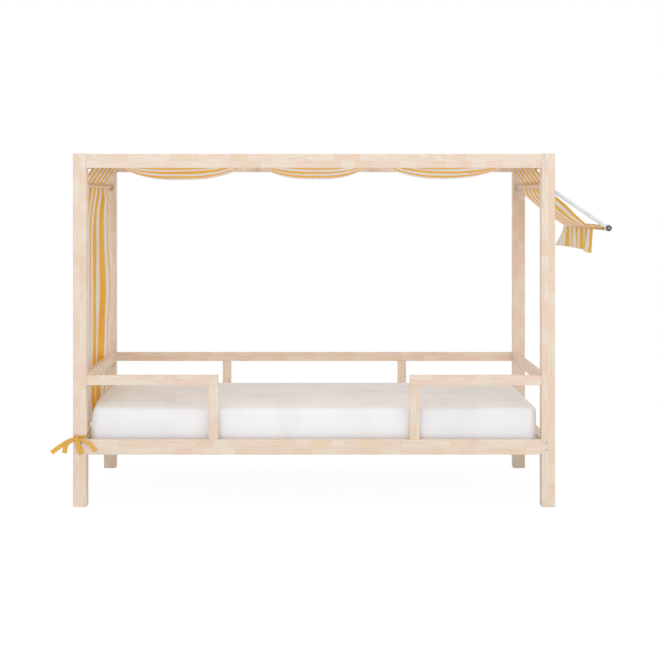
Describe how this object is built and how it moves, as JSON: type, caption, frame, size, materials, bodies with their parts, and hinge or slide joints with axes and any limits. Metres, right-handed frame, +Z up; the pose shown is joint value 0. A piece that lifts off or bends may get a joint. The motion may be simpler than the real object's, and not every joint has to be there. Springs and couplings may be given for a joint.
{
  "type": "canopy bed",
  "caption": "Child's wooden four-post bed with guard rails, slats and mattress, and a striped cloth canopy that runs out over a tilting awning.",
  "frame": {"origin": "on the floor, in the middle of the area that the whole object covers", "axes": "+X along the bed from the head to the foot and the awning, +Y from the entry side to the rear, +Z up"},
  "size_m": [2.5068, 0.9922, 1.57],
  "materials": {
    "pine_frame": "satin",
    "pine_slats": "matte",
    "pine_poles": "satin",
    "dowel_wood": "matte",
    "fitted_sheet": "matte",
    "striped_cloth": "matte",
    "ribbon": "matte",
    "arm_plastic": "gloss",
    "cap_plastic": "matte",
    "socket_plastic": "matte",
    "zinc_steel": "satin"
  },
  "bodies": {
    "frame": {"post_front_left": "pine_frame", "post_front_right": "pine_frame", "post_rear_left": "pine_frame", "post_rear_right": "pine_frame", "side_rail_front": "pine_frame", "side_rail_rear": "pine_frame", "end_rail_left": "pine_frame", "end_rail_right": "pine_frame", "top_rail_front": "pine_frame", "top_rail_rear": "pine_frame", "top_end_rail_left": "pine_frame", "top_end_rail_right": "pine_frame", "guard_rail_front_left": "pine_frame", "guard_rail_front_right": "pine_frame", "guard_rail_rear": "pine_frame", "guard_end_left": "pine_frame", "guard_end_right": "pine_frame", "guard_upright_front_left": "pine_frame", "guard_upright_front_right": "pine_frame", "guard_upright_rear_left": "pine_frame", "guard_upright_rear_right": "pine_frame", "slat_ledge_front": "pine_slats", "slat_ledge_rear": "pine_slats", "slat_01": "pine_slats", "slat_02": "pine_slats", "slat_03": "pine_slats", "slat_04": "pine_slats", "slat_05": "pine_slats", "slat_06": "pine_slats", "slat_07": "pine_slats", "slat_08": "pine_slats", "slat_09": "pine_slats", "slat_10": "pine_slats", "slat_11": "pine_slats", "slat_12": "pine_slats", "slat_13": "pine_slats", "canopy_pole_1": "pine_poles", "canopy_pole_2": "pine_poles", "canopy_pole_3": "pine_poles", "canopy_pole_4": "pine_poles", "end_rod_left": "pine_poles", "end_rod_right": "pine_poles", "rod_sockets": "socket_plastic", "roof_cloth": "striped_cloth", "head_curtain": "striped_cloth", "tie_ribbon_front": "ribbon", "tie_ribbon_rear": "ribbon", "dowels": "dowel_wood", "end_rail_bolts": "zinc_steel", "side_rail_bolts": "zinc_steel", "barrel_nuts": "zinc_steel", "short_screws": "zinc_steel", "ledge_screws": "zinc_steel"},
    "mattress": {"mattress": "fitted_sheet"},
    "awning": {"awning_arm_front": "arm_plastic", "awning_arm_rear": "arm_plastic", "awning_pole": "pine_poles", "awning_pole_caps": "cap_plastic", "awning_cloth": "striped_cloth"},
    "valance": {"awning_valance": "striped_cloth"}
  },
  "joints": [
    {"name": "mattress_lift", "type": "slide", "parent": "frame", "child": "mattress", "axis": [0, 0, 1], "range_m": [0, 0.35]},
    {"name": "awning_tilt", "type": "hinge", "parent": "frame", "child": "awning", "pos_m": [0.956, 0, 1.429], "axis": [0, 1, 0], "range_deg": [-34, 50]},
    {"name": "valance_swing", "type": "hinge", "parent": "awning", "child": "valance", "pos_m": [1.17386, 0, 1.23609], "axis": [0, 1, 0], "range_deg": [-50, 34]}
  ],
  "couplings": [
    {"joint": "valance_swing", "follows": "awning_tilt", "ratio": -1}
  ]
}
